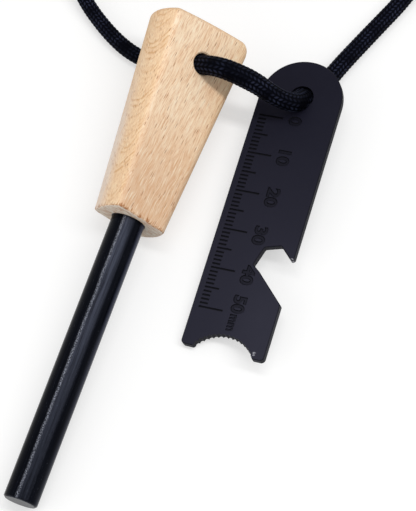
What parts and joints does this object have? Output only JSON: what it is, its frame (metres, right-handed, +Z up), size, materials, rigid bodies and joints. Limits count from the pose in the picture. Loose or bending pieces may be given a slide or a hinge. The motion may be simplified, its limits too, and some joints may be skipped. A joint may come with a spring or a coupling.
{
  "type": "ferro rod fire starter",
  "caption": "Fire starter: a ferrocerium rod in a tapered beech handle and a flat steel striker with ruler, bottle opener and toothed scraper, threaded on a braided neck cord.",
  "frame": {"origin": "on the surface that the set lies on, under the middle of the box round the handle, rod and striker", "axes": "+Z up from the surface, +Y in plan along the rod from its tip to the handle, +X from the rod towards the striker"},
  "size_m": [0.0963, 0.1962, 0.023],
  "materials": {
    "beech": "fine sanded, lightly oiled",
    "ferrocerium": "dark protective coat, finely scratched",
    "adhesive": "cured glue",
    "blackened_steel": "black matt coat",
    "braided_cord": "braided synthetic yarn",
    "tie_band": "matt"
  },
  "bodies": {
    "handle": {"handle": "beech", "ferro_rod": "ferrocerium", "rod_adhesive": "adhesive"},
    "lanyard": {"cord_left_strand": "braided_cord", "cord_bridge": "braided_cord", "cord_right_strand": "braided_cord", "cord_coil": "braided_cord", "cord_coil_tail": "braided_cord", "lanyard_knot": "braided_cord", "coil_tie": "tie_band"},
    "striker": {"striker": "blackened_steel"}
  },
  "joints": [
    {"name": "handle_swing", "type": "hinge", "parent": "handle", "child": "lanyard", "pos_m": [-0.0145, 0.04977, 0.01118], "axis": [0.6293, -0.05, 0.7755], "range_deg": [-5, 90]},
    {"name": "striker_swing", "type": "hinge", "parent": "lanyard", "child": "striker", "pos_m": [0.0134, 0.0525, 0.007], "axis": [-0.2392, -0.0638, 0.9689], "range_deg": [-10, 170]}
  ]
}
